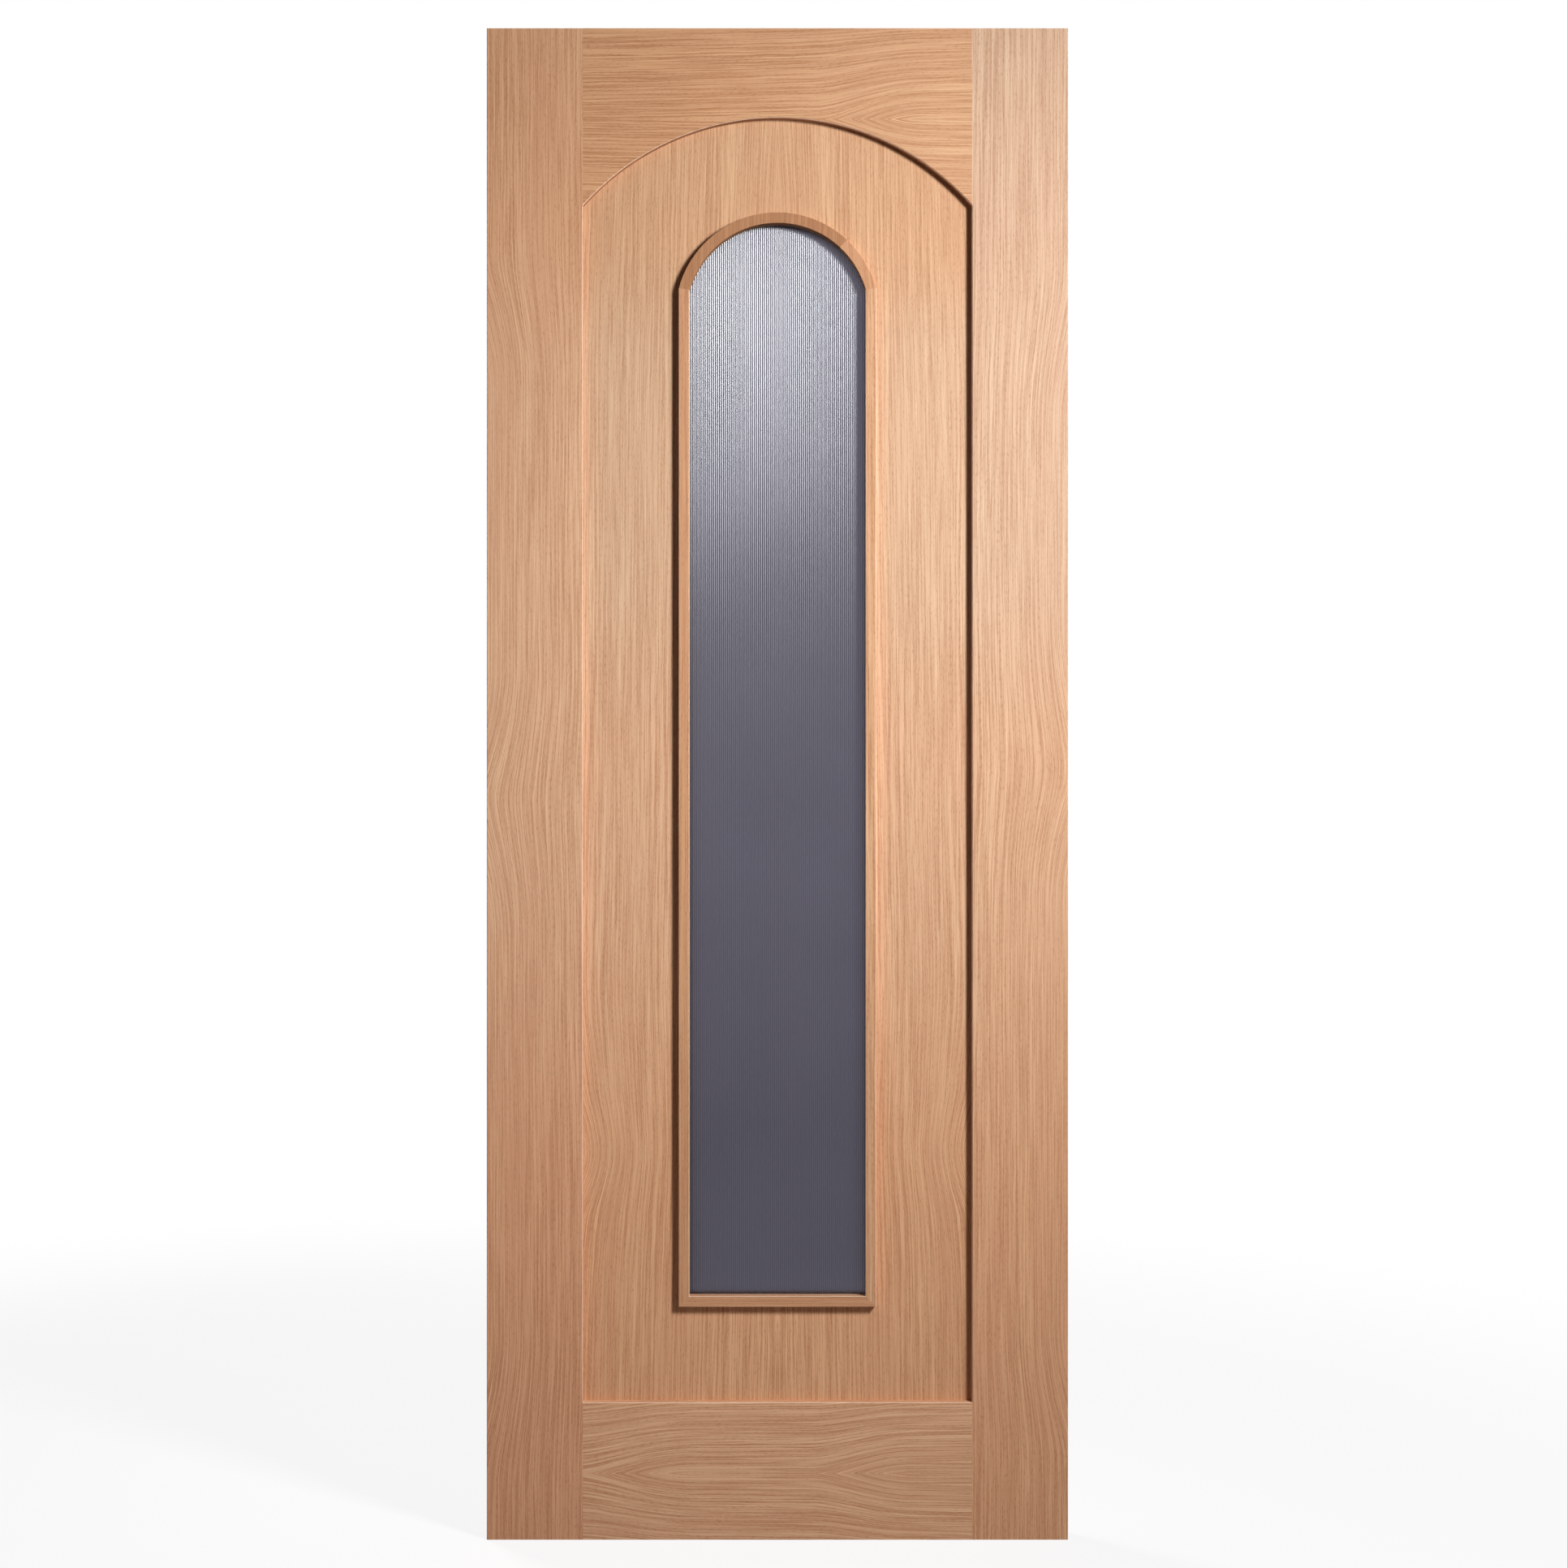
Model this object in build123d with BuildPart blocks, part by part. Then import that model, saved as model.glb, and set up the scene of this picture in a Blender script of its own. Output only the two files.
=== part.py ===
from build123d import *
import os
from math import cos, radians, sin, sqrt
from typing import NamedTuple

# A glazed interior door leaf: veneered stiles and rails round a flat panel with an arched head,
# and a long arched pane held in the panel by rebated glazing beads on both faces.
# X runs from the hinge edge to the lock edge, Y from the front face to the back face, Z upwards.
# The origin is at the foot of the hinge edge, midway through the thickness. Sizes are millimetres.

# Leaf
leaf_width = 762.0
leaf_height = 1981.0
leaf_thickness = 35.0

# Stiles and rails
stile_width = 126.0
bottom_rail_depth = 180.0
crown_depth = 117.0  # top rail, at the crown of its arch
spring_depth = 232.0  # top rail, where its arch meets the stiles
veneer = 0.6
edge_lipping = 8.0  # solid strips on the outer edges of the stiles
inner_lipping = 14.0  # solid strips on the edges that hold the panel
edge_arris = 1.0  # rounding of the leaf's long outer edges
inner_arris = 1.2  # chamfer on the edges round the panel

# Panel
panel_thickness = 12.0
groove_depth = 10.0
groove_play = 1.0  # left free between a tongue and the floor of its groove

# Glazing
side_margin = 125.5  # plain panel beside the beads
foot_margin = 125.0
head_margin = 124.0
sight_arch_angle = 74.25  # half the arc of the sight line's arch
glass_thickness = 4.0
glass_cover = 6.0  # how far the pane reaches behind the beads
tape_thickness = 1.0
bead_width = 14.0
bead_leg = 8.0  # width of the part that goes into the panel's opening
bead_fit = 0.5  # clearance round that part
bead_setback = 0.5  # bead face behind the leaf face
bead_arris = 0.8
bead_joint_angle = 43.0  # joints in the arched bead, from the vertical

# Places that follow from the sizes
middle = leaf_width / 2
face = leaf_thickness / 2
ground = face - veneer  # outer side of the cores, under the veneer
panel_face = panel_thickness / 2
panel_ground = panel_face - veneer
glass_face = glass_thickness / 2
tape_face = glass_face + tape_thickness
bead_front = face - bead_setback
tongue = groove_depth - groove_play
half_opening = middle - stile_width
opening_width = 2 * half_opening
arch_rise = spring_depth - crown_depth
arch_radius = (half_opening**2 + arch_rise**2) / (2 * arch_rise)
front, back = 1, -1
left, right = -1, 1


class Outline(NamedTuple):
    """A shape with upright sides, a level foot and a segmental arch for its head."""

    half_width: float
    foot: float
    radius: float
    centre: float  # height of the centre of the arch


opening = Outline(
    half_opening,
    bottom_rail_depth,
    arch_radius,
    leaf_height - crown_depth - arch_radius,
)
half_sight = half_opening - side_margin - bead_width
sight_radius = half_sight / sin(radians(sight_arch_angle))
sight = Outline(
    half_sight,
    bottom_rail_depth + foot_margin + bead_width,
    sight_radius,
    leaf_height - crown_depth - head_margin - bead_width - sight_radius,
)


def arc_height(outline, grow, across):
    """Height of the arch, moved outwards by grow, at a distance from the middle line."""
    return outline.centre + sqrt((outline.radius + grow) ** 2 - across**2)


def arched_face(outline, grow=0.0, mode=Mode.ADD):
    """Adds an outline, moved outwards by grow, to the sketch that is open."""
    half = outline.half_width + grow
    foot = outline.foot - grow
    spring = arc_height(outline, grow, half)
    crown = outline.centre + outline.radius + grow
    with BuildLine() as edge:
        Polyline(
            (middle - half, spring),
            (middle - half, foot),
            (middle + half, foot),
            (middle + half, spring),
        )
        ThreePointArc((middle + half, spring), (middle, crown), (middle - half, spring))
    make_face(edge.edges(), mode=mode)


def rail_face(grow=0.0, mode=Mode.ADD):
    """Adds the top rail's elevation to the open sketch, with its arch moved up by grow."""
    spring = arc_height(opening, grow, half_opening)
    crown = opening.centre + opening.radius + grow
    with BuildLine() as edge:
        Polyline(
            (middle - half_opening, spring),
            (middle - half_opening, leaf_height),
            (middle + half_opening, leaf_height),
            (middle + half_opening, spring),
        )
        ThreePointArc(
            (middle + half_opening, spring),
            (middle, crown),
            (middle - half_opening, spring),
        )
    make_face(edge.edges(), mode=mode)


def elevation(depth):
    """The upright plane that lies in front of the middle of the leaf by depth."""
    return Plane.XZ.offset(depth)


def outer_face(piece, side):
    """The face of a piece that lies furthest out on one side of the leaf."""
    return piece.faces().sort_by(Axis.Y)[0 if side == front else -1]


def write(piece, name):
    piece.part.label = name
    export_step(piece.part, f"parts/{name}.step")


def stile_layer(name, edge, inward, near, far, low, high, grooved=False):
    """One layer of a stile: near and far from its outer edge, low and high through it.

    The chamfer on the inner edge runs only beside the panel, from rail to rail.
    """
    inner_edge = edge + inward * stile_width
    spring = arc_height(opening, 0, half_opening)
    with BuildPart() as layer:
        with BuildSketch() as section:
            with Locations((edge + inward * stile_width / 2, 0)):
                Rectangle(stile_width, leaf_thickness)
            outer_corners = section.vertices().sort_by_distance((edge, 0))[:2]
            fillet(outer_corners, edge_arris)
            with Locations((edge + inward * (near + far) / 2, (low + high) / 2)):
                Rectangle(far - near, high - low, mode=Mode.INTERSECT)
            if grooved:
                with Locations((inner_edge - inward * groove_depth / 2, 0)):
                    Rectangle(groove_depth, panel_thickness, mode=Mode.SUBTRACT)
        extrude(amount=leaf_height)
        if far == stile_width:
            with BuildSketch(Plane.XY.offset(bottom_rail_depth)):
                with Locations((inner_edge, -face), (inner_edge, face)):
                    Rectangle(sqrt(2) * inner_arris, sqrt(2) * inner_arris, rotation=45)
            extrude(amount=spring - bottom_rail_depth, mode=Mode.SUBTRACT)
    write(layer, name)


def stile(side, edge, inward):
    """A stile: a core between two solid lippings, under a sheet of veneer on each face."""
    inner = stile_width - inner_lipping
    stile_layer(f"{side}_stile_core", edge, inward, edge_lipping, inner, -ground, ground)
    stile_layer(f"{side}_edge_lipping", edge, inward, 0, edge_lipping, -ground, ground)
    stile_layer(
        f"{side}_stile_inner_lipping", edge, inward, inner, stile_width, -ground, ground, True
    )
    stile_layer(f"{side}_stile_front_veneer", edge, inward, 0, stile_width, -face, -ground)
    stile_layer(f"{side}_stile_back_veneer", edge, inward, 0, stile_width, ground, face)


def bottom_rail_layer(name, bottom, top, low, high, grooved=False, tenoned=False):
    """One layer of the bottom rail, between two heights and two depths."""
    with BuildPart() as layer:
        with BuildSketch(Plane.YZ.offset(stile_width)) as section:
            Rectangle(leaf_thickness, bottom_rail_depth, align=(Align.CENTER, Align.MIN))
            chamfer(section.vertices().group_by(Axis.Y)[-1], inner_arris)
            with Locations(((low + high) / 2, (bottom + top) / 2)):
                Rectangle(high - low, top - bottom, mode=Mode.INTERSECT)
            if grooved:
                with Locations((0, bottom_rail_depth - groove_depth / 2)):
                    Rectangle(panel_thickness, groove_depth, mode=Mode.SUBTRACT)
        extrude(amount=opening_width)
        if tenoned:
            with BuildSketch(elevation(0)):
                with Locations((middle, (bottom + top) / 2)):
                    Rectangle(opening_width + 2 * tongue, top - bottom)
            extrude(amount=panel_face, both=True)
    write(layer, name)


def bottom_rail():
    """The bottom rail: a core with stub tenons, a grooved lipping and two veneers."""
    seat = bottom_rail_depth - inner_lipping
    bottom_rail_layer("bottom_rail_core", 0, seat, -ground, ground, tenoned=True)
    bottom_rail_layer(
        "bottom_rail_lipping", seat, bottom_rail_depth, -ground, ground, grooved=True
    )
    bottom_rail_layer("bottom_rail_front_veneer", 0, bottom_rail_depth, -face, -ground)
    bottom_rail_layer("bottom_rail_back_veneer", 0, bottom_rail_depth, ground, face)


def top_rail_core():
    """The core of the top rail, with a stub tenon at each end."""
    spring = arc_height(opening, inner_lipping, half_opening)
    with BuildPart() as core:
        with BuildSketch(elevation(0)):
            rail_face(inner_lipping)
        extrude(amount=ground, both=True)
        with BuildSketch(elevation(0)):
            for side in (left, right):
                tenon_middle = middle + side * (half_opening + tongue / 2)
                with Locations((tenon_middle, (spring + leaf_height) / 2)):
                    Rectangle(tongue, leaf_height - spring)
        extrude(amount=panel_face, both=True)
    write(core, "top_rail_core")


def arch_disc(grow):
    """Adds the whole circle of the top rail's arch, made larger by grow, to the open sketch."""
    with Locations((middle, opening.centre)):
        Circle(opening.radius + grow)


def top_rail_lipping():
    """The solid strip along the arch, with chamfered arrises and the panel's groove."""
    with BuildPart() as lipping:
        with BuildSketch(elevation(0)):
            rail_face()
        extrude(amount=face, both=True)
        chamfer(lipping.edges().filter_by(GeomType.CIRCLE), inner_arris)
        with BuildSketch(elevation(0)):
            arch_disc(inner_lipping)
        extrude(amount=ground, both=True, mode=Mode.INTERSECT)
        with BuildSketch(elevation(0)):
            arch_disc(groove_depth)
        extrude(amount=panel_face, both=True, mode=Mode.SUBTRACT)
    write(lipping, "top_rail_arch_lipping")


def top_rail_veneer(name, side):
    """The sheet on one face of the top rail, chamfered along the arch."""
    with BuildPart() as sheet:
        with BuildSketch(elevation(0)):
            rail_face()
        extrude(amount=side * face)
        chamfer(outer_face(sheet, side).edges().filter_by(GeomType.CIRCLE), inner_arris)
        outer_part = Keep.TOP if side == front else Keep.BOTTOM
        split(bisect_by=elevation(side * ground), keep=outer_part)
    write(sheet, name)


def panel_layer(name, low, high):
    """One layer of the panel, with the opening for the glass cut through it."""
    with BuildPart() as layer:
        with BuildSketch(elevation(low)):
            arched_face(opening, tongue)
            arched_face(sight, bead_leg + bead_fit, mode=Mode.SUBTRACT)
        extrude(amount=high - low)
    write(layer, name)


def glass_pane():
    with BuildPart() as pane:
        with BuildSketch(elevation(0)):
            arched_face(sight, glass_cover)
        extrude(amount=glass_face, both=True)
    write(pane, "glass_pane")


def glazing_tape(name, side):
    """The strip that beds the pane on the beads of one face."""
    with BuildPart() as tape:
        with BuildSketch(elevation(side * glass_face)):
            arched_face(sight, glass_cover)
            arched_face(sight, mode=Mode.SUBTRACT)
        extrude(amount=side * tape_thickness)
    write(tape, name)


def foot_corner(side, grow):
    return (middle + side * (sight.half_width + grow), sight.foot - grow)


def spring_corner(side, grow):
    half = sight.half_width + grow
    return (middle + side * half, arc_height(sight, grow, half))


def arch_point(angle, grow):
    """A point of the arch at an angle from the vertical, positive to the right."""
    reach = sight.radius + grow
    return (middle + reach * sin(radians(angle)), sight.centre + reach * cos(radians(angle)))


def joint_corner(side, grow):
    return arch_point(side * bead_joint_angle, grow)


def bead(name, side, start, start_side, end, end_side, through=None):
    """A glazing bead from one corner of the sight line to another, on one face of the panel.

    Its front part laps over the panel, and its leg goes into the opening as far as the tape.
    A bead that follows the arch goes through the given angle on its way.
    """

    def strip(width):
        with BuildLine() as edge:
            Polyline(start(start_side, 0), start(start_side, width))
            Polyline(end(end_side, 0), end(end_side, width))
            for grow in (0, width):
                if through is None:
                    Line(start(start_side, grow), end(end_side, grow))
                else:
                    ThreePointArc(
                        start(start_side, grow), arch_point(through, grow), end(end_side, grow)
                    )
        make_face(edge.edges())

    with BuildPart() as bar:
        with BuildSketch(elevation(side * panel_face)):
            strip(bead_width)
        extrude(amount=side * (bead_front - panel_face))
        fillet(outer_face(bar, side).edges().sort_by(SortBy.LENGTH)[-2:], bead_arris)
        with BuildSketch(elevation(side * tape_face)):
            strip(bead_leg)
        extrude(amount=side * (panel_face - tape_face))
    write(bar, name)


def beads(label, side):
    """The six beads of one face: two uprights, a foot, and an arch in three lengths."""
    haunch_angle = (bead_joint_angle + sight_arch_angle) / 2
    bead(f"{label}_bead_bottom", side, foot_corner, left, foot_corner, right)
    bead(f"{label}_bead_left", side, foot_corner, left, spring_corner, left)
    bead(f"{label}_bead_right", side, foot_corner, right, spring_corner, right)
    bead(f"{label}_bead_arch_crown", side, joint_corner, left, joint_corner, right, 0)
    bead(f"{label}_bead_arch_left", side, spring_corner, left, joint_corner, left, -haunch_angle)
    bead(f"{label}_bead_arch_right", side, joint_corner, right, spring_corner, right, haunch_angle)


os.makedirs("parts", exist_ok=True)
stile("hinge", 0, 1)
stile("lock", leaf_width, -1)
bottom_rail()
top_rail_core()
top_rail_lipping()
top_rail_veneer("top_rail_front_veneer", front)
top_rail_veneer("top_rail_back_veneer", back)
panel_layer("panel_core", -panel_ground, panel_ground)
panel_layer("panel_front_veneer", panel_ground, panel_face)
panel_layer("panel_back_veneer", -panel_face, -panel_ground)
glass_pane()
glazing_tape("front_glazing_tape", front)
glazing_tape("back_glazing_tape", back)
beads("front", front)
beads("back", back)
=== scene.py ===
import math

import bpy
import numpy as np
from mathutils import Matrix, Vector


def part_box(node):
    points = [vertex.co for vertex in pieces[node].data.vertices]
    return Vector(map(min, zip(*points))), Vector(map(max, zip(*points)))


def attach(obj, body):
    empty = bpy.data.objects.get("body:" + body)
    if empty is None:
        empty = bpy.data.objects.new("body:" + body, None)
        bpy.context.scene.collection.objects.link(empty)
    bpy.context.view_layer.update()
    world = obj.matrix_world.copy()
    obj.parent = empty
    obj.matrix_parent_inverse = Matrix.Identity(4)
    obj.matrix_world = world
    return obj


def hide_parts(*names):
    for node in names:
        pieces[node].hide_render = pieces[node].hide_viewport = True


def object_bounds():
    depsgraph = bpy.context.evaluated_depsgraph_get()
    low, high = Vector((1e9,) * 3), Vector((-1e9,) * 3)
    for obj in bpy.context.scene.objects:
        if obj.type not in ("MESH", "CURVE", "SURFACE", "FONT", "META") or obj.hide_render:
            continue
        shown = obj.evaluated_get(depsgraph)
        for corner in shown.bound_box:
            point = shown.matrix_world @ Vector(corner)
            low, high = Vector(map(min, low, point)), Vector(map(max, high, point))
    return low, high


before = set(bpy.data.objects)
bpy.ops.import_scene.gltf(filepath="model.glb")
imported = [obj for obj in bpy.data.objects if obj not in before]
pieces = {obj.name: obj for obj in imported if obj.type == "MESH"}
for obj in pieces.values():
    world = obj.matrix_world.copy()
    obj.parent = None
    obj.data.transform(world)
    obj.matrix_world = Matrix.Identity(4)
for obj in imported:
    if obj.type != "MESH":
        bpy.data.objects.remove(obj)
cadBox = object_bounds()
print("frame loaded,", len(pieces), "pieces")


# node helpers

def feed(tree, socket, value):  # links a socket, or sets it to a plain value
    if isinstance(value, bpy.types.NodeSocket):
        tree.links.new(value, socket)
    else:
        socket.default_value = value


def put(tree, kind, inputs=None, **settings):
    made = tree.nodes.new(kind)
    for key, value in settings.items():
        setattr(made, key, value)
    for key, value in (inputs or {}).items():
        feed(tree, made.inputs[key], value)
    return made


def calc(tree, operation, *values, clamp=False):
    inputs = dict(enumerate(values))
    made = put(tree, "ShaderNodeMath", inputs, operation=operation, use_clamp=clamp)
    return made.outputs[0]


def ramp(tree, value, fromLow, fromHigh, toLow=0.0, toHigh=1.0, kind="LINEAR"):
    made = put(tree, "ShaderNodeMapRange", {
        "Value": value, "From Min": fromLow, "From Max": fromHigh, "To Min": toLow, "To Max": toHigh,
    }, interpolation_type=kind)
    return made.outputs["Result"]


def blendColour(tree, share, first, second, kind="MIX"):
    made = put(tree, "ShaderNodeMix", data_type="RGBA", blend_type=kind)
    for name, value in (("Factor_Float", share), ("A_Color", first), ("B_Color", second)):
        feed(tree, next(s for s in made.inputs if s.identifier == name), value)
    return next(s for s in made.outputs if s.identifier == "Result_Color")


def noiseAt(tree, x, y, z, detail=2.0, rough=0.5):
    place = put(tree, "ShaderNodeCombineXYZ", {"X": x, "Y": y, "Z": z}).outputs[0]
    made = put(tree, "ShaderNodeTexNoise", {
        "Vector": place, "Scale": 1.0, "Detail": detail, "Roughness": rough,
    })
    return made.outputs["Fac"]


def addBump(tree, shader, height, strength, depth):
    bump = put(tree, "ShaderNodeBump", {"Height": height, "Strength": strength, "Distance": depth})
    feed(tree, shader.inputs["Normal"], bump.outputs[0])


def newGroup(name, inputs, outputs):
    tree = bpy.data.node_groups.new(name, "ShaderNodeTree")
    for label, value in inputs.items():
        if isinstance(value, tuple):
            kind = "NodeSocketColor" if len(value) == 4 else "NodeSocketVector"
        else:
            kind = "NodeSocketFloat"
        tree.interface.new_socket(label, in_out="INPUT", socket_type=kind).default_value = value
    for label, kind in outputs.items():
        tree.interface.new_socket(label, in_out="OUTPUT", socket_type=kind)
    return tree, put(tree, "NodeGroupInput").outputs, put(tree, "NodeGroupOutput").inputs


def use(tree, group, **inputs):
    made = put(tree, "ShaderNodeGroup", node_tree=group)
    for key, value in inputs.items():
        feed(tree, made.inputs[key], value)
    return made.outputs


def emptyTree(owner):
    owner.use_nodes = True
    owner.node_tree.nodes.clear()
    return owner.node_tree


def newFinish(name):
    material = bpy.data.materials.new(name)
    tree = emptyTree(material)
    shader = put(tree, "ShaderNodeBsdfPrincipled")
    put(tree, "ShaderNodeOutputMaterial", {"Surface": shader.outputs[0]})
    return material, tree, shader


def dress(node, material):
    slots = pieces[node].data.materials
    slots.clear()
    slots.append(material)


# mesh helpers

def newPiece(name, points, faces):
    mesh = bpy.data.meshes.new(name)
    mesh.from_pydata(points.tolist(), [], faces.tolist())
    made = bpy.data.objects.new(name, mesh)
    bpy.context.scene.collection.objects.link(made)
    return made


def gridFaces(index):  # four corners of each cell, counted round it
    corners = index[:-1, :-1], index[:-1, 1:], index[1:, 1:], index[1:, :-1]
    return np.stack(corners, -1).reshape(-1, 4)


# where the growth rings lie on a board

ringField = dict(
    slow=(5.0, 1.7),  # waves to a metre in the wander, across and along the board
    fine=(110.0, 34.0),  # the same in the wobble
    depth=0.6,  # share of the depth
)


def makeBoardField():
    # field = distance from the board's match line, less a steady climb along the grain, with a slow
    # wander and a fine wobble, plus a share of the depth so that edges are striped too
    tree, given, out = newGroup("boardField", {
        "Vector": (0.0, 0.0, 0.0), "Match": 0.0, "Climb": 0.0,
        "Wander": 0.01, "Wobble": 0.002, "Seed": 0.0,
    }, {"Field": "NodeSocketFloat", "Across": "NodeSocketFloat", "Along": "NodeSocketFloat"})
    split = put(tree, "ShaderNodeSeparateXYZ", {"Vector": given["Vector"]}).outputs
    across = calc(tree, "ABSOLUTE", calc(tree, "SUBTRACT", split["X"], given["Match"]))

    def waves(acrossPitch, alongPitch):
        noise = noiseAt(
            tree,
            calc(tree, "MULTIPLY", split["X"], acrossPitch),
            calc(tree, "MULTIPLY", split["Z"], alongPitch),
            given["Seed"],
            detail=1.0,
        )
        return calc(tree, "SUBTRACT", noise, 0.5)

    wander = calc(tree, "MULTIPLY", waves(*ringField["slow"]), given["Wander"])
    wander = calc(tree, "MULTIPLY_ADD", waves(*ringField["fine"]), given["Wobble"], wander)
    fall = calc(tree, "MULTIPLY", given["Climb"], -1.0)
    climbed = calc(tree, "MULTIPLY_ADD", split["Z"], fall, across)
    deep = calc(tree, "MULTIPLY_ADD", split["Y"], ringField["depth"], climbed)
    feed(tree, out["Field"], calc(tree, "ADD", deep, wander))
    feed(tree, out["Across"], across)
    feed(tree, out["Along"], split["Z"])
    return tree


def makeGrainEye():
    # push = size, eased in and out along the grain, fading with the distance from the eye's axis
    tree, given, out = newGroup("grainEye", {
        "Across": 0.0, "Along": 0.0, "Axis": 0.0, "Start": 0.0, "End": 1.0, "Soft": 0.1,
        "Size": 0.03, "Reach": 0.05,
    }, {"Push": "NodeSocketFloat"})

    def eased(middle, first, last):
        return ramp(
            tree, given["Along"],
            calc(tree, "SUBTRACT", given[middle], given["Soft"]),
            calc(tree, "ADD", given[middle], given["Soft"]),
            first, last, kind="SMOOTHSTEP",
        )

    within = calc(tree, "MULTIPLY", eased("Start", 0.0, 1.0), eased("End", 1.0, 0.0))
    off = calc(tree, "ABSOLUTE", calc(tree, "SUBTRACT", given["Across"], given["Axis"]))
    reaches = calc(tree, "DIVIDE", calc(tree, "MULTIPLY", off, -1.0), given["Reach"])
    fade = calc(tree, "EXPONENT", reaches)
    push = calc(tree, "MULTIPLY", within, calc(tree, "MULTIPLY", fade, given["Size"]))
    feed(tree, out["Push"], push)
    return tree


grainStripes = {  # stretch is waves to a metre along the grain, low to high is spread over 0 to 1
    "rings": dict(stretch=4.0, shift=0.0, detail=1.0, rough=0.6, low=0.38, high=0.62),
    "fibres": dict(stretch=20.0, shift=5.0, detail=1.0, rough=0.5, low=0.34, high=0.66),
    "drift": dict(stretch=1.6, shift=11.0, detail=2.0, rough=0.5, low=0.30, high=0.70),
}
grainForm = dict(
    fibre=0.0010, drift=0.05,  # widths
    shear=0.38,  # slant of the stripes' noise, which hides its lattice
    ringShare=0.55, fibreShare=0.45, driftShare=0.42,
    columnSeed=31.0, stagger=9.0,  # how the columns of pores are told apart and shifted
    dash=(0.35, 0.95), dashEnd=0.12,  # pore and its tapered ends, as shares of its cell
    crowd=(0.62, 0.16), crowdEnd=0.15,  # chance of a pore in the darkest and the palest ring
    dull=(0.62, 0.50), poreDull=0.15,  # roughness of dark and pale wood, and more in a pore
    rise=0.8,  # height of pale wood, where a pore is 1 deep
)


def makeOakGrain():
    # stripes follow the ring field: broad rings, fine fibres and slow drifts of tone
    # pores are short dashes, one to a cell, in narrow columns that each start at their own height
    tree, given, out = newGroup("oakGrain", {
        "Field": 0.0, "Along": 0.0, "Seed": 0.0, "Ring": 0.0026,
        "Pale": (0.86, 0.555, 0.350, 1.0), "Deep": (0.53, 0.265, 0.145, 1.0),
        "Blush": (0.67, 0.365, 0.225, 1.0), "Pore": (0.40, 0.175, 0.085, 1.0), "Pores": 0.42,
        "Pore Width": 0.0009, "Pore Length": 0.012,
    }, {"Color": "NodeSocketColor", "Roughness": "NodeSocketFloat", "Height": "NodeSocketFloat"})
    field, along, seed = given["Field"], given["Along"], given["Seed"]

    def stripes(width, stretch, shift, detail, rough, low, high):
        place = calc(tree, "DIVIDE", field, width)
        slant = calc(tree, "MULTIPLY", place, grainForm["shear"])
        noise = noiseAt(
            tree,
            place,
            calc(tree, "MULTIPLY_ADD", along, stretch, slant),
            calc(tree, "ADD", seed, shift),
            detail, rough,
        )
        return ramp(tree, noise, low, high)

    rings = stripes(given["Ring"], **grainStripes["rings"])
    fibres = stripes(grainForm["fibre"], **grainStripes["fibres"])
    drift = stripes(grainForm["drift"], **grainStripes["drift"])

    column = calc(tree, "DIVIDE", field, given["Pore Width"])
    number = calc(tree, "FLOOR", column)
    start = put(tree, "ShaderNodeTexWhiteNoise", {
        "W": calc(tree, "MULTIPLY_ADD", seed, grainForm["columnSeed"], number),
    }, noise_dimensions="1D").outputs["Value"]
    height = calc(tree, "DIVIDE", along, given["Pore Length"])
    cell = calc(tree, "MULTIPLY_ADD", start, grainForm["stagger"], height)
    within = calc(tree, "FRACT", cell)
    place = put(tree, "ShaderNodeCombineXYZ", {
        "X": number, "Y": calc(tree, "FLOOR", cell),
    }).outputs[0]
    chance = put(tree, "ShaderNodeTexWhiteNoise", {"Vector": place}, noise_dimensions="2D").outputs
    pick = put(tree, "ShaderNodeSeparateColor", {"Color": chance["Color"]}).outputs["Red"]
    length = ramp(tree, pick, 0.0, 1.0, *grainForm["dash"])
    dash = calc(
        tree, "MULTIPLY",
        ramp(tree, within, 0.0, grainForm["dashEnd"]),
        ramp(tree, calc(tree, "SUBTRACT", length, within), 0.0, grainForm["dashEnd"]),
    )
    aside = calc(tree, "MULTIPLY_ADD", calc(tree, "FRACT", column), 2.0, -1.0)
    hollow = calc(tree, "SUBTRACT", 1.0, calc(tree, "MULTIPLY", aside, aside))
    crowd = ramp(tree, rings, 0.0, 1.0, *grainForm["crowd"])
    kept = ramp(tree, calc(tree, "SUBTRACT", crowd, chance["Value"]), 0.0, grainForm["crowdEnd"])
    pores = calc(tree, "MULTIPLY", calc(tree, "MULTIPLY", dash, hollow), kept)

    light = calc(
        tree, "ADD",
        calc(tree, "MULTIPLY", rings, grainForm["ringShare"]),
        calc(tree, "MULTIPLY", fibres, grainForm["fibreShare"]),
    )
    ground = blendColour(tree, light, given["Deep"], given["Pale"])
    flush = calc(tree, "MULTIPLY", drift, grainForm["driftShare"])
    ground = blendColour(tree, flush, ground, given["Blush"])
    filled = calc(tree, "MULTIPLY", pores, given["Pores"])
    feed(tree, out["Color"], blendColour(tree, filled, ground, given["Pore"]))
    dull = ramp(tree, light, 0.0, 1.0, *grainForm["dull"])
    feed(tree, out["Roughness"], calc(tree, "MULTIPLY_ADD", pores, grainForm["poreDull"], dull))
    tall = calc(tree, "MULTIPLY", light, grainForm["rise"])
    feed(tree, out["Height"], calc(tree, "MULTIPLY_ADD", pores, -1.0, tall))
    return tree


boardField = makeBoardField()
grainEye = makeGrainEye()
oakGrain = makeOakGrain()
print("grain groups made")


# oak boards: each has its own cut of veneer or strip of solid wood
# grain "up" runs along Z and "level" along X, and eyes are where the rings open out
# drifts multiply tints along the grain: painted shade darkens and reddens the foot of the stiles and
# panel, and a painted highlight pales and cools the upper lock stile and panel

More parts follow.
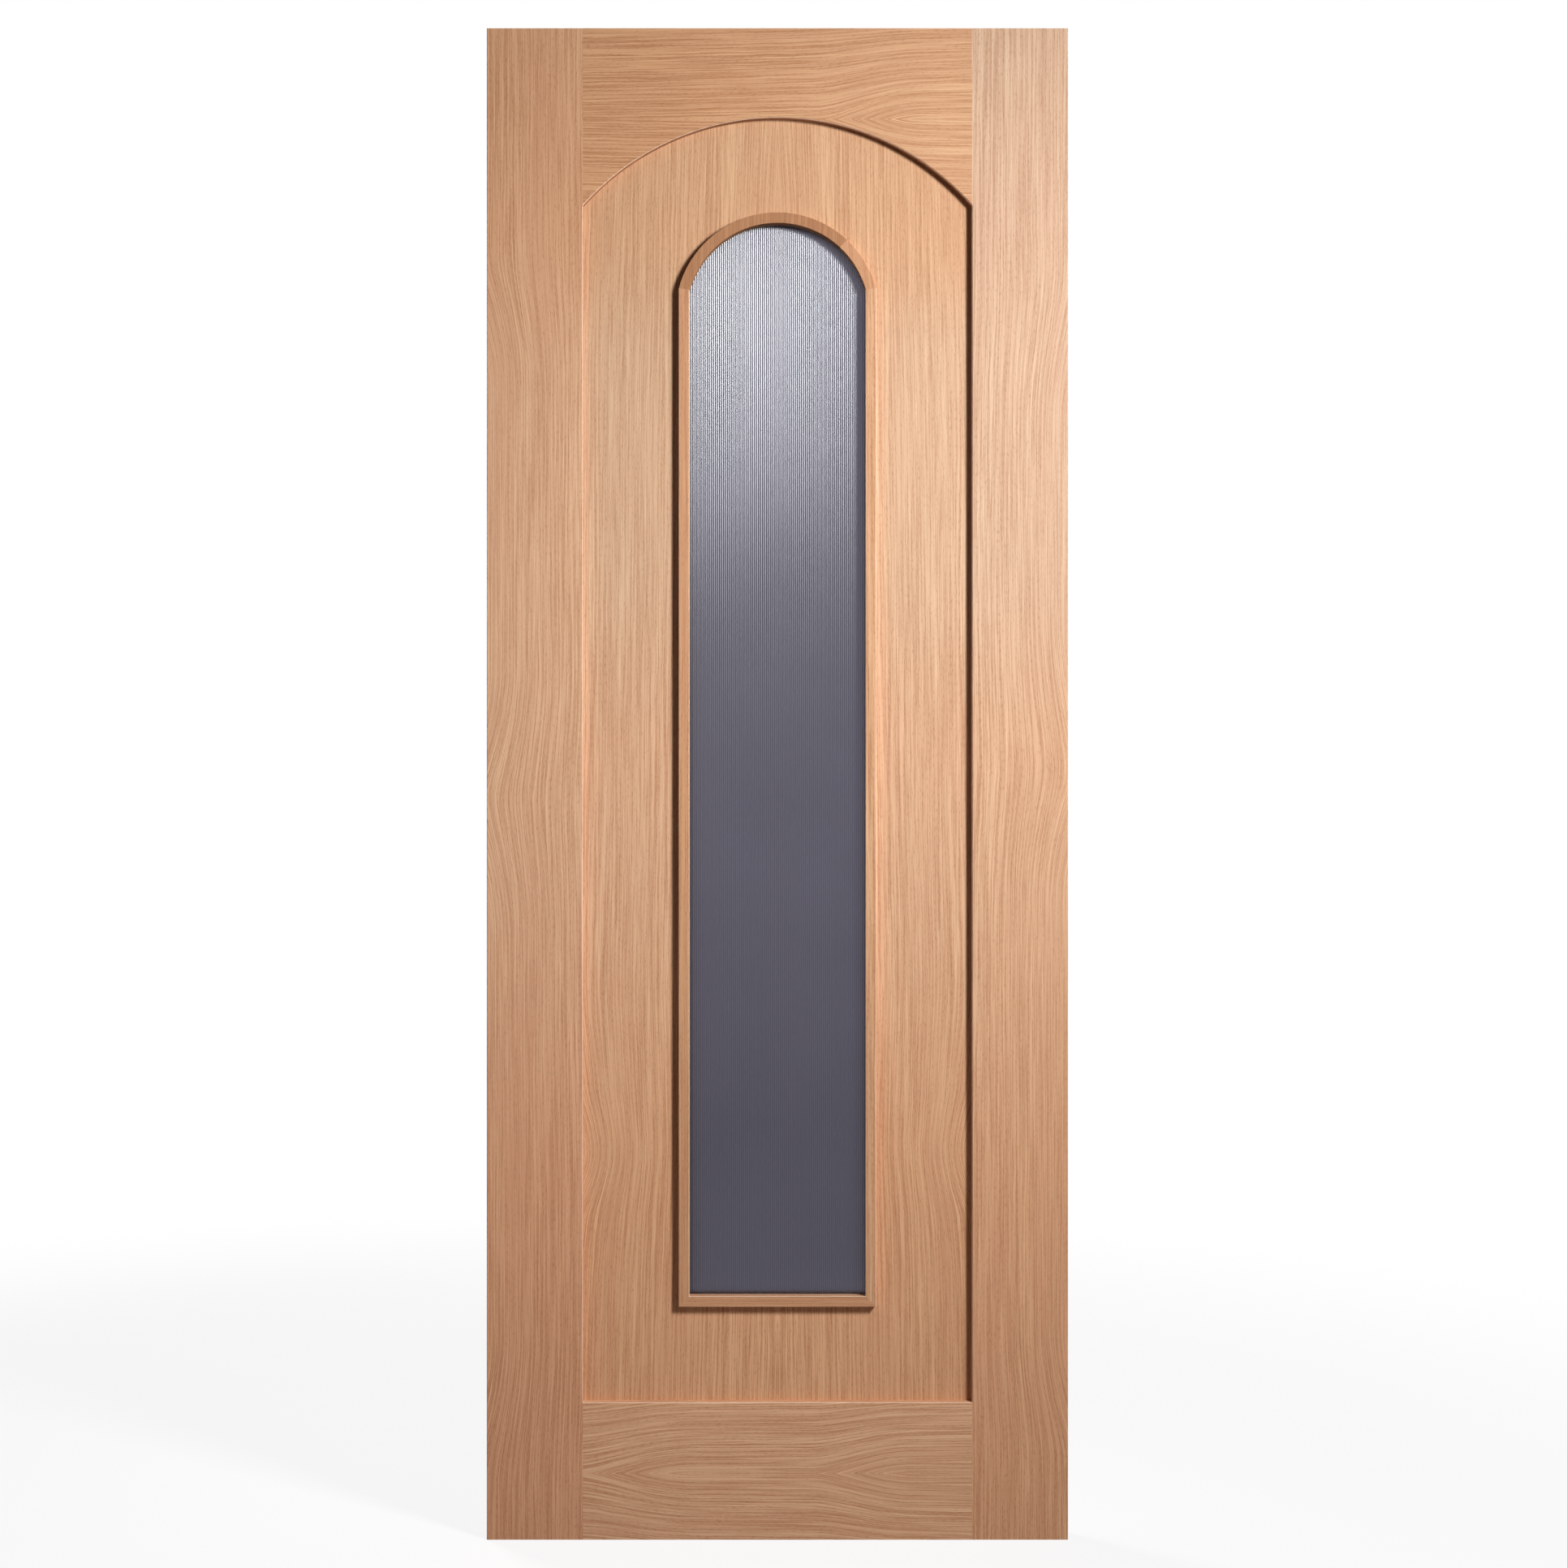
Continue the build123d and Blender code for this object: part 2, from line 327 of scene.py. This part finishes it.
tanOak = dict(
    Pale=(0.84, 0.518, 0.302, 1.0), Deep=(0.465, 0.213, 0.102, 1.0), Blush=(0.62, 0.325, 0.185, 1.0),
)
darkOak = dict(
    Pale=(0.71, 0.395, 0.216, 1.0), Deep=(0.50, 0.235, 0.119, 1.0), Blush=(0.585, 0.288, 0.159, 1.0),
)
paleOak = dict(
    Pale=(0.95, 0.622, 0.390, 1.0), Deep=(0.545, 0.245, 0.122, 1.0), Blush=(0.73, 0.39, 0.235, 1.0),
)
russetOak = dict(
    Pale=(0.53, 0.275, 0.142, 1.0), Deep=(0.363, 0.162, 0.077, 1.0), Blush=(0.437, 0.198, 0.097, 1.0),
)
# painted shade: a darker tone for the inner lippings, which line the recess and the arch, so that they
# look and bounce light as if shaded
recessShadeOak = dict(
    Pale=(0.57, 0.305, 0.175, 1.0), Deep=(0.39, 0.18, 0.095, 1.0), Blush=(0.47, 0.22, 0.12, 1.0),
)
strip = -0.3  # match line far outside the door, so that a narrow strip has straight grain
leafArris = (0.0161, 0.018)  # distances from mid-thickness between which an arris gets a painted highlight
beadArris = (0.0161, 0.01697)
oakBoards = {
    "hingeStile": dict(
        grain="up", match=-0.02, climb=0.004, seed=1.0,
        eyes=[
            dict(Axis=0.02, Start=0.17, End=0.89, Soft=0.10, Size=0.050, Reach=0.045),
            dict(Axis=0.02, Start=1.05, End=1.60, Soft=0.09, Size=0.060, Reach=0.045),
        ],
        # painted shade: the first tint darkens and reddens the stile toward its foot; the second
        # darkens its top
        shadeAndToneTints=[
            dict(start=0.95, end=0.40, tint=(1.0, 0.88, 0.83, 1.0)),
            dict(start=1.45, end=1.75, tint=(0.97, 0.90, 0.83, 1.0)),
        ],
    ),
    "lockStile": dict(
        grain="up", match=0.80, climb=0.004, seed=2.0,
        eyes=[
            dict(Axis=0.03, Start=0.19, End=0.93, Soft=0.09, Size=0.065, Reach=0.045),
            dict(Axis=0.03, Start=1.10, End=1.56, Soft=0.11, Size=0.055, Reach=0.045),
        ],
        # painted shade darkens the stile toward its foot; a painted highlight pales and cools it higher
        # up
        shadeAndToneTints=[
            dict(start=0.95, end=0.40, tint=(1.04, 0.95, 0.89, 1.0)),
            dict(start=1.0, end=1.30, tint=(0.93, 1.03, 1.13, 1.0)),
        ],
    ),
    "topRail": dict(
        grain="level", match=1.862, climb=0.03, seed=3.0, tones=tanOak,
        eyes=[dict(Axis=0.0, Start=0.50, End=1.20, Soft=0.07, Size=0.050, Reach=0.055)],
        # the tint darkens and warms the rail toward its hinge end
        shadeAndToneTints=[dict(start=0.60, end=0.20, tint=(0.97, 0.92, 0.87, 1.0))],
    ),
    "bottomRail": dict(
        grain="level", match=0.087, climb=0.022, seed=4.0, tones=paleOak,
        eyes=[
            dict(Axis=0.0, Start=0.19, End=1.20, Soft=0.08, Size=0.040, Reach=0.07),
            dict(Axis=0.0, Start=0.49, End=1.20, Soft=0.065, Size=0.055, Reach=0.055),
        ],
    ),
    "panel": dict(
        grain="up", match=0.381, climb=-0.006, seed=5.0,
        eyes=[
            dict(Axis=0.265, Start=0.46, End=0.62, Soft=0.13, Size=-0.030, Reach=0.060),
            dict(Axis=0.265, Start=0.47, End=0.54, Soft=0.055, Size=-0.050, Reach=0.035),
            dict(Axis=0.0, Start=1.0, End=1.86, Soft=0.25, Size=0.03, Reach=0.03),
        ],
        # painted shade darkens the panel toward its foot, a painted highlight pales and cools it higher
        # up, and the last tint warms and darkens its top
        shadeAndToneTints=[
            dict(start=0.95, end=0.40, tint=(1.03, 0.95, 0.87, 1.0)),
            dict(start=1.0, end=1.30, tint=(0.96, 1.04, 1.08, 1.0)),
            dict(start=1.55, end=1.72, tint=(1.0, 0.91, 0.82, 1.0)),
        ],
    ),
    "edgeStrip": dict(grain="up", match=strip, climb=0.002, seed=6.0),
    # the inner lippings take the darker tone of painted shade
    "uprightStrip": dict(
        grain="up", match=strip, climb=0.002, seed=6.5, tones=recessShadeOak, arris=leafArris,
    ),
    "levelStrip": dict(
        grain="level", match=strip, climb=0.002, seed=7.0, tones=recessShadeOak, arris=leafArris,
    ),
    "footStrip": dict(
        grain="level", match=strip, climb=0.002, seed=7.4, tones=tanOak, arris=leafArris,
    ),
    "leftBead": dict(
        grain="up", match=strip, climb=0.003, seed=8.0, tones=darkOak, arris=beadArris,
    ),
    "rightBead": dict(
        grain="up", match=strip, climb=0.002, seed=9.0, tones=tanOak, arris=beadArris,
    ),
    "bottomBead": dict(
        grain="level", match=strip, climb=0.004, seed=10.0, tones=darkOak, arris=beadArris,
    ),
    "crownBead": dict(grain="up", match=strip, climb=0.02, seed=11.0, tones=russetOak),
    "rightHaunch": dict(grain="up", match=strip, climb=-0.1, seed=13.0, tones=darkOak),
}
oakFinish = dict(
    wander=0.012, wobble=0.0018, sheen=0.15, bump=0.55, bumpDepth=0.00015,
    sanded=0.75, highlightTone=(0.92, 0.74, 0.58, 1.0),  # painted highlight: arrises are mixed toward a pale tone
)


def makeOak(name, board, shift):
    material, tree, shader = newFinish(name)
    spot = put(tree, "ShaderNodeTexCoord").outputs["Object"]
    if board["grain"] == "level":  # turned so that X of the frame becomes the way of the grain
        turned = put(tree, "ShaderNodeMapping", {
            "Vector": spot, "Rotation": (0.0, math.radians(90), 0.0),
        })
        spot = put(tree, "ShaderNodeVectorMath", {
            0: turned.outputs[0], 1: (1.0, 1.0, -1.0),
        }, operation="MULTIPLY").outputs[0]
    seed = board["seed"] + shift
    rings = use(
        tree, boardField, Vector=spot, Match=board["match"], Climb=board["climb"],
        Wander=oakFinish["wander"], Wobble=oakFinish["wobble"], Seed=seed,
    )
    field, along = rings["Field"], rings["Along"]
    for eye in board.get("eyes", []):
        push = use(tree, grainEye, Across=rings["Across"], Along=along, **eye)["Push"]
        field = calc(tree, "SUBTRACT", field, push)
    grain = use(tree, oakGrain, Field=field, Along=along, Seed=seed, **board.get("tones", {}))
    colour = grain["Color"]
    # tints along the grain: mostly painted shade toward the foot and painted highlight higher up
    for drift in board.get("shadeAndToneTints", []):
        share = ramp(tree, along, drift["start"], drift["end"], kind="SMOOTHSTEP")
        colour = blendColour(tree, share, colour, drift["tint"], kind="MULTIPLY")
    # painted highlight: the front arrises are mixed toward a pale tone, as if they caught the light
    if "arris" in board:
        first, last = board["arris"]
        split = put(tree, "ShaderNodeSeparateXYZ", {"Vector": spot}).outputs
        deep = calc(tree, "ABSOLUTE", split["Y"])
        sanded = calc(
            tree, "MULTIPLY",
            calc(tree, "GREATER_THAN", deep, first),
            calc(tree, "LESS_THAN", deep, last),
        )
        share = calc(tree, "MULTIPLY", sanded, oakFinish["sanded"])
        colour = blendColour(tree, share, colour, oakFinish["highlightTone"])
    feed(tree, shader.inputs["Base Color"], colour)
    feed(tree, shader.inputs["Roughness"], grain["Roughness"])
    feed(tree, shader.inputs["Specular IOR Level"], oakFinish["sheen"])
    addBump(tree, shader, grain["Height"], oakFinish["bump"], oakFinish["bumpDepth"])
    return material


oakWear = {  # piece: (board, shift of the seed)
    "hinge_edge_lipping": ("edgeStrip", 0.0),
    "lock_edge_lipping": ("edgeStrip", 0.4),
    "hinge_stile_inner_lipping": ("uprightStrip", 0.8),
    "lock_stile_inner_lipping": ("uprightStrip", 1.2),
    "bottom_rail_lipping": ("footStrip", 0.0),
    "top_rail_arch_lipping": ("levelStrip", 0.4),
}
veneerBoards = {
    "hinge_stile": "hingeStile", "lock_stile": "lockStile",
    "top_rail": "topRail", "bottom_rail": "bottomRail", "panel": "panel",
}
beadBoards = {
    "left": "leftBead", "right": "rightBead", "bottom": "bottomBead",
    "arch_crown": "crownBead", "arch_left": "crownBead", "arch_right": "rightHaunch",
}
for side, shift in (("front", 0.0), ("back", 0.37)):
    for place, board in veneerBoards.items():
        oakWear[f"{place}_{side}_veneer"] = (board, shift)
    for place, board in beadBoards.items():
        oakWear[f"{side}_bead_{place}"] = (board, shift)
for node, (board, shift) in oakWear.items():
    dress(node, makeOak(f"oak_{node}", oakBoards[board], shift))
print("oak laid on", len(oakWear), "pieces")


# softwood cores, which show at the top and bottom edges

coreWood = dict(
    stave=0.026, ring=0.0021,
    pale=(0.72, 0.52, 0.30, 1.0), deep=(0.50, 0.30, 0.14, 1.0), glue=(0.28, 0.16, 0.08, 1.0),
    heart=0.01, heartSpread=0.09,  # how far from mid-thickness a stave's ring centre lies
    fuzz=(90.0, 90.0, 6.0),  # waves to a metre in the roughness
    late=(0.35, 0.95),  # part of a ring over which it darkens
    contrast=(0.35, 0.8),  # of the mildest and the boldest stave
    seam=(0.48, 0.497), seamShare=0.6,  # distance from a stave's middle, as a share of its width
    dull=(0.62, 0.82), bump=0.3, bumpDepth=0.0002,
)


def makeCoreWood():
    # staves side by side: each has its own ring centre, and rings are the distance from it
    material, tree, shader = newFinish("core_softwood")
    spot = put(tree, "ShaderNodeTexCoord").outputs["Object"]
    split = put(tree, "ShaderNodeSeparateXYZ", {"Vector": spot}).outputs
    count = calc(tree, "DIVIDE", split["X"], coreWood["stave"])
    number = calc(tree, "FLOOR", count)
    within = calc(tree, "SUBTRACT", count, number)
    chance = put(tree, "ShaderNodeTexWhiteNoise", {"W": number}, noise_dimensions="1D").outputs["Value"]
    heart = calc(tree, "MULTIPLY_ADD", chance, coreWood["heartSpread"], coreWood["heart"])
    offX = calc(tree, "MULTIPLY", calc(tree, "SUBTRACT", within, chance), coreWood["stave"])
    offY = calc(tree, "ADD", split["Y"], heart)
    squares = calc(tree, "ADD", calc(tree, "MULTIPLY", offX, offX), calc(tree, "MULTIPLY", offY, offY))
    reach = calc(tree, "SQRT", squares)
    fuzz = (calc(tree, "MULTIPLY", split[axis], pitch) for axis, pitch in zip("XYZ", coreWood["fuzz"]))
    rough = noiseAt(tree, *fuzz, detail=3.0)
    phase = calc(tree, "ADD", calc(tree, "DIVIDE", reach, coreWood["ring"]), rough)
    late = ramp(tree, calc(tree, "FRACT", phase), *coreWood["late"])
    tone = calc(tree, "MULTIPLY", late, ramp(tree, chance, 0.0, 1.0, *coreWood["contrast"]))
    colour = blendColour(tree, tone, coreWood["pale"], coreWood["deep"])
    off = calc(tree, "ABSOLUTE", calc(tree, "SUBTRACT", calc(tree, "FRACT", count), 0.5))
    seam = calc(tree, "MULTIPLY", ramp(tree, off, *coreWood["seam"]), coreWood["seamShare"])
    feed(tree, shader.inputs["Base Color"], blendColour(tree, seam, colour, coreWood["glue"]))
    feed(tree, shader.inputs["Roughness"], ramp(tree, rough, 0.2, 0.8, *coreWood["dull"]))
    addBump(tree, shader, rough, coreWood["bump"], coreWood["bumpDepth"])
    return material


softwood = makeCoreWood()
for node in pieces:
    if node.endswith("_core"):
        dress(node, softwood)
print("cores dressed")


# glazing tape

tape = dict(
    pale=(0.62, 0.58, 0.52, 1.0), grey=(0.48, 0.45, 0.41, 1.0),
    cell=1400.0,  # foam cells to a metre
    dull=(0.7, 0.9), bump=0.4, bumpDepth=0.0001,
)


def makeTape():
    material, tree, shader = newFinish("glazing_tape")
    spot = put(tree, "ShaderNodeTexCoord").outputs["Object"]
    foam = put(tree, "ShaderNodeTexNoise", {
        "Vector": spot, "Scale": tape["cell"], "Detail": 2.0,
    }).outputs["Fac"]
    colour = blendColour(tree, ramp(tree, foam, 0.3, 0.7), tape["grey"], tape["pale"])
    feed(tree, shader.inputs["Base Color"], colour)
    feed(tree, shader.inputs["Roughness"], ramp(tree, foam, 0.2, 0.8, *tape["dull"]))
    addBump(tree, shader, foam, tape["bump"], tape["bumpDepth"])
    return material


tapeFoam = makeTape()
for node in ("front_glazing_tape", "back_glazing_tape"):
    dress(node, tapeFoam)
print("tape dressed")


# reeded pane

pane = dict(
    reed=0.0027,  # pitch of the reeds
    relief=0.00050,  # depth of the valleys between them
    flat=0.98,  # how straight the flanks of a reed are, 0 to 1
    uneven=0.03,  # share by which every other reed is deeper or shallower
    steps=16,  # facets across one reed
    rows=12,
    crease=40.0,  # degrees past which an edge stays sharp
    archRadius=0.126,  # the pane's own arch, at its hidden edge
    # painted shade: the tint is darker in the reed valleys, standing in for the dark lines that the
    # reeds make
    tint=(0.106, 0.098, 0.137, 1.0), valleyShade=(0.053, 0.049, 0.070, 1.0),
    cloud=6.0, cloudShare=0.2,  # slow unevenness of the tint
    rough=0.28, bend=1.52,
    glint=(0.90, 0.92, 0.95, 1.0),  # reflections are a little blue
)


def makePane():
    # x runs across and z from the foot up to the arch, whose height is centre + sqrt(radius^2 - x^2)
    # the reeded face lies behind the front of the pane by half the relief times one plus
    # asin(flat cos(2 pi t)) / asin(flat), t the place across one reed: a wave with straight flanks
    # the relief is a little more and less by turns
    low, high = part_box("glass_pane")
    half = (high.x - low.x) / 2
    middle = (high.x + low.x) / 2
    reeds = math.ceil(2 * half / pane["reed"])
    t = np.linspace(0.0, reeds, reeds * pane["steps"] + 1)
    x = np.clip((t - reeds / 2) * pane["reed"], -half, half)
    x, kept = np.unique(x, return_index=True)
    t = t[kept]
    turns = 1 - pane["uneven"] + 2 * pane["uneven"] * np.sin(np.pi * t / 2) ** 2
    relief = pane["relief"] * turns
    wave = np.arcsin(pane["flat"] * np.cos(2 * np.pi * t)) / math.asin(pane["flat"])
    top = high.z - pane["archRadius"] + np.sqrt(pane["archRadius"] ** 2 - x**2)
    rise = np.linspace(0.0, 1.0, pane["rows"] + 1)
    gridX = np.repeat(x[None, :], len(rise), 0) + middle
    gridZ = low.z + rise[:, None] * (top - low.z)[None, :]
    frontY = np.repeat((low.y + relief * (0.5 + 0.5 * wave))[None, :], len(rise), 0)
    backY = np.full_like(gridX, high.y)
    points = np.concatenate([
        np.stack([gridX, frontY, gridZ], -1).reshape(-1, 3),
        np.stack([gridX, backY, gridZ], -1).reshape(-1, 3),
    ])
    index = np.arange(gridX.size).reshape(gridX.shape)
    front = gridFaces(index)
    back = front[:, [0, 3, 2, 1]] + gridX.size  # the same cells, turned round
    rim = np.concatenate([index[0, :-1], index[:-1, -1], index[-1, :0:-1], index[:0:-1, 0]])
    rimNext = np.roll(rim, -1)
    edge = np.stack([rimNext, rim, rim + gridX.size, rimNext + gridX.size], -1)
    made = newPiece("reeded_pane", points, np.concatenate([front, back, edge]))
    mesh = made.data
    mesh.polygons.foreach_set("use_smooth", np.ones(len(mesh.polygons), bool))
    mesh.set_sharp_from_angle(angle=math.radians(pane["crease"]))
    mesh.update()
    return made, middle, reeds


def makeGlass(middle, reeds):
    material, tree, shader = newFinish("reeded_glass")
    spot = put(tree, "ShaderNodeTexCoord").outputs["Object"]
    cloud = put(tree, "ShaderNodeTexNoise", {
        "Vector": spot, "Scale": pane["cloud"], "Detail": 3.0,
    }).outputs["Fac"]
    across = put(tree, "ShaderNodeSeparateXYZ", {"Vector": spot}).outputs["X"]
    place = calc(tree, "DIVIDE", calc(tree, "SUBTRACT", across, middle), pane["reed"])
    offset = 0.5 * (reeds % 2)  # an odd count of reeds has a crest in the middle
    turn = calc(tree, "MULTIPLY", calc(tree, "SUBTRACT", place, offset), 2 * math.pi)
    # 1 on a crest, 0 in a valley, where the tint turns to painted shade
    wave = calc(tree, "MULTIPLY_ADD", calc(tree, "COSINE", turn), -0.5, 0.5)
    share = calc(
        tree, "MULTIPLY_ADD", ramp(tree, cloud, 0.3, 0.7), pane["cloudShare"],
        calc(tree, "MULTIPLY", wave, 1 - pane["cloudShare"]),
    )
    feed(tree, shader.inputs["Base Color"], blendColour(tree, share, pane["valleyShade"], pane["tint"]))
    feed(tree, shader.inputs["Roughness"], pane["rough"])
    feed(tree, shader.inputs["Transmission Weight"], 1.0)
    feed(tree, shader.inputs["IOR"], pane["bend"])
    feed(tree, shader.inputs["Specular Tint"], pane["glint"])
    return material


reededPane, paneMiddle, reedCount = makePane()
reededPane.data.materials.append(makeGlass(paneMiddle, reedCount))
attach(reededPane, "root")
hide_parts("glass_pane")
print("pane made,", len(reededPane.data.polygons), "faces")


# stage: a pale floor that fades to white, lights and camera

white = (1.0, 1.0, 1.0, 1.0)
stage = dict(
    size=14.0, cells=40,
    floor=(0.86, 0.855, 0.845, 1.0),
    dim=(0.34, 0.30, 0.27, 1.0),  # what the door gets back from the floor
    near=0.7, far=2.6, nearWhite=0.85,  # where the floor fades to white
    mirrorNear=2.0, mirrorFar=10.0, mirrorWhite=0.62,  # the same in reflections and through glass
    ambient=0.019, bounce=(1.0, 0.80, 0.62, 1.0),  # weak warm light from all round
)


def makeFloor():
    # a level square grid under the door
    line = np.linspace(-stage["size"], stage["size"], stage["cells"] + 1)
    gridX, gridY = np.meshgrid(line, line)
    points = np.stack([gridX, gridY, np.zeros_like(gridX)], -1).reshape(-1, 3)
    index = np.arange(gridX.size).reshape(gridX.shape)
    floor = newPiece("stage_floor", points, gridFaces(index))

    material = bpy.data.materials.new("stage_floor")
    tree = emptyTree(material)
    spot = put(tree, "ShaderNodeTexCoord").outputs["Object"]
    away = put(tree, "ShaderNodeVectorMath", {0: spot}, operation="LENGTH").outputs["Value"]
    ray = put(tree, "ShaderNodeLightPath").outputs
    faded = ramp(tree, away, stage["near"], stage["far"], stage["nearWhite"], 1.0, kind="SMOOTHSTEP")
    direct = calc(tree, "MULTIPLY", ray["Is Camera Ray"], faded)
    through = calc(tree, "ADD", ray["Is Transmission Ray"], ray["Is Glossy Ray"], clamp=True)
    mirrored = ramp(tree, away, stage["mirrorNear"], stage["mirrorFar"], stage["mirrorWhite"], 1.0)
    share = calc(tree, "MAXIMUM", direct, calc(tree, "MULTIPLY", through, mirrored))
    shade = blendColour(tree, ray["Is Diffuse Ray"], stage["floor"], stage["dim"])
    paint = put(tree, "ShaderNodeBsdfDiffuse", {"Color": shade})
    glow = put(tree, "ShaderNodeEmission", {"Color": white, "Strength": 1.0})
    mixed = put(tree, "ShaderNodeMixShader", {0: share, 1: paint.outputs[0], 2: glow.outputs[0]})
    put(tree, "ShaderNodeOutputMaterial", {"Surface": mixed.outputs[0]})
    floor.data.materials.append(material)


def makeWorld():
    world = bpy.data.worlds.new("studio")
    bpy.context.scene.world = world
    tree = emptyTree(world)
    ray = put(tree, "ShaderNodeLightPath").outputs
    straight = calc(tree, "ADD", ray["Is Camera Ray"], ray["Is Glossy Ray"])
    seen = calc(tree, "ADD", straight, ray["Is Transmission Ray"], clamp=True)
    sky = put(tree, "ShaderNodeBackground", {
        "Color": blendColour(tree, seen, stage["bounce"], white),
        "Strength": ramp(tree, seen, 0.0, 1.0, stage["ambient"], 1.0),
    })
    put(tree, "ShaderNodeOutputWorld", {"Surface": sky.outputs[0]})


studioLights = {
    "keyBox": dict(
        place=(1.74, -1.62, 1.97), aim=(-0.20, 0.0, 0.80), size=(0.45, 0.74), watts=17.4, spread=1.84,
    ),
    "keyTop": dict(
        place=(1.74, -1.62, 2.14), aim=(-0.20, 0.0, 0.80), size=(0.45, 0.40), watts=9.9, spread=1.84,
    ),
    "backBox": dict(
        place=(-1.20, 1.75, 1.80), aim=(0.62, 0.0, 0.85), size=(0.80, 0.80), watts=21.0, spread=1.84,
    ),
    "topStrip": dict(
        place=(0.381, 0.10, 2.90), aim=(0.381, 0.0, 1.98), size=(0.90, 0.16), watts=0.6, spread=1.0,
    ),
}


def makeLight(name, place, aim, size, watts, spread):
    lamp = bpy.data.lights.new(name, "AREA")
    lamp.shape = "RECTANGLE"
    lamp.size, lamp.size_y = size
    lamp.energy = watts
    lamp.spread = spread
    made = bpy.data.objects.new(name, lamp)
    made.location = place
    toward = np.subtract(aim, place)
    level = math.hypot(toward[0], toward[1])
    made.rotation_euler = (math.atan2(level, -toward[2]), 0.0, math.atan2(-toward[0], toward[1]))
    bpy.context.scene.collection.objects.link(made)


camera = dict(
    away=3.2,  # from the face of the door
    aside=0.008,  # to the right of its middle
    seenWidth=2.054,  # width of the picture at the face
    sensor=36.0,
)


def makeCamera():
    low, high = cadBox
    middle = [(first + last) / 2 for first, last in zip(low, high)]
    lens = bpy.data.cameras.new("camera")
    lens.sensor_fit = "HORIZONTAL"
    lens.sensor_width = camera["sensor"]
    lens.lens = camera["sensor"] * camera["away"] / camera["seenWidth"]
    made = bpy.data.objects.new("camera", lens)
    made.location = (middle[0] + camera["aside"], low[1] - camera["away"], middle[2])
    made.rotation_euler = (math.radians(90), 0.0, 0.0)
    bpy.context.scene.collection.objects.link(made)
    bpy.context.scene.camera = made


makeFloor()
makeWorld()
for name, values in studioLights.items():
    makeLight(name, **values)
makeCamera()
bpy.context.scene.view_settings.view_transform = "Standard"
print("stage, light and camera set")
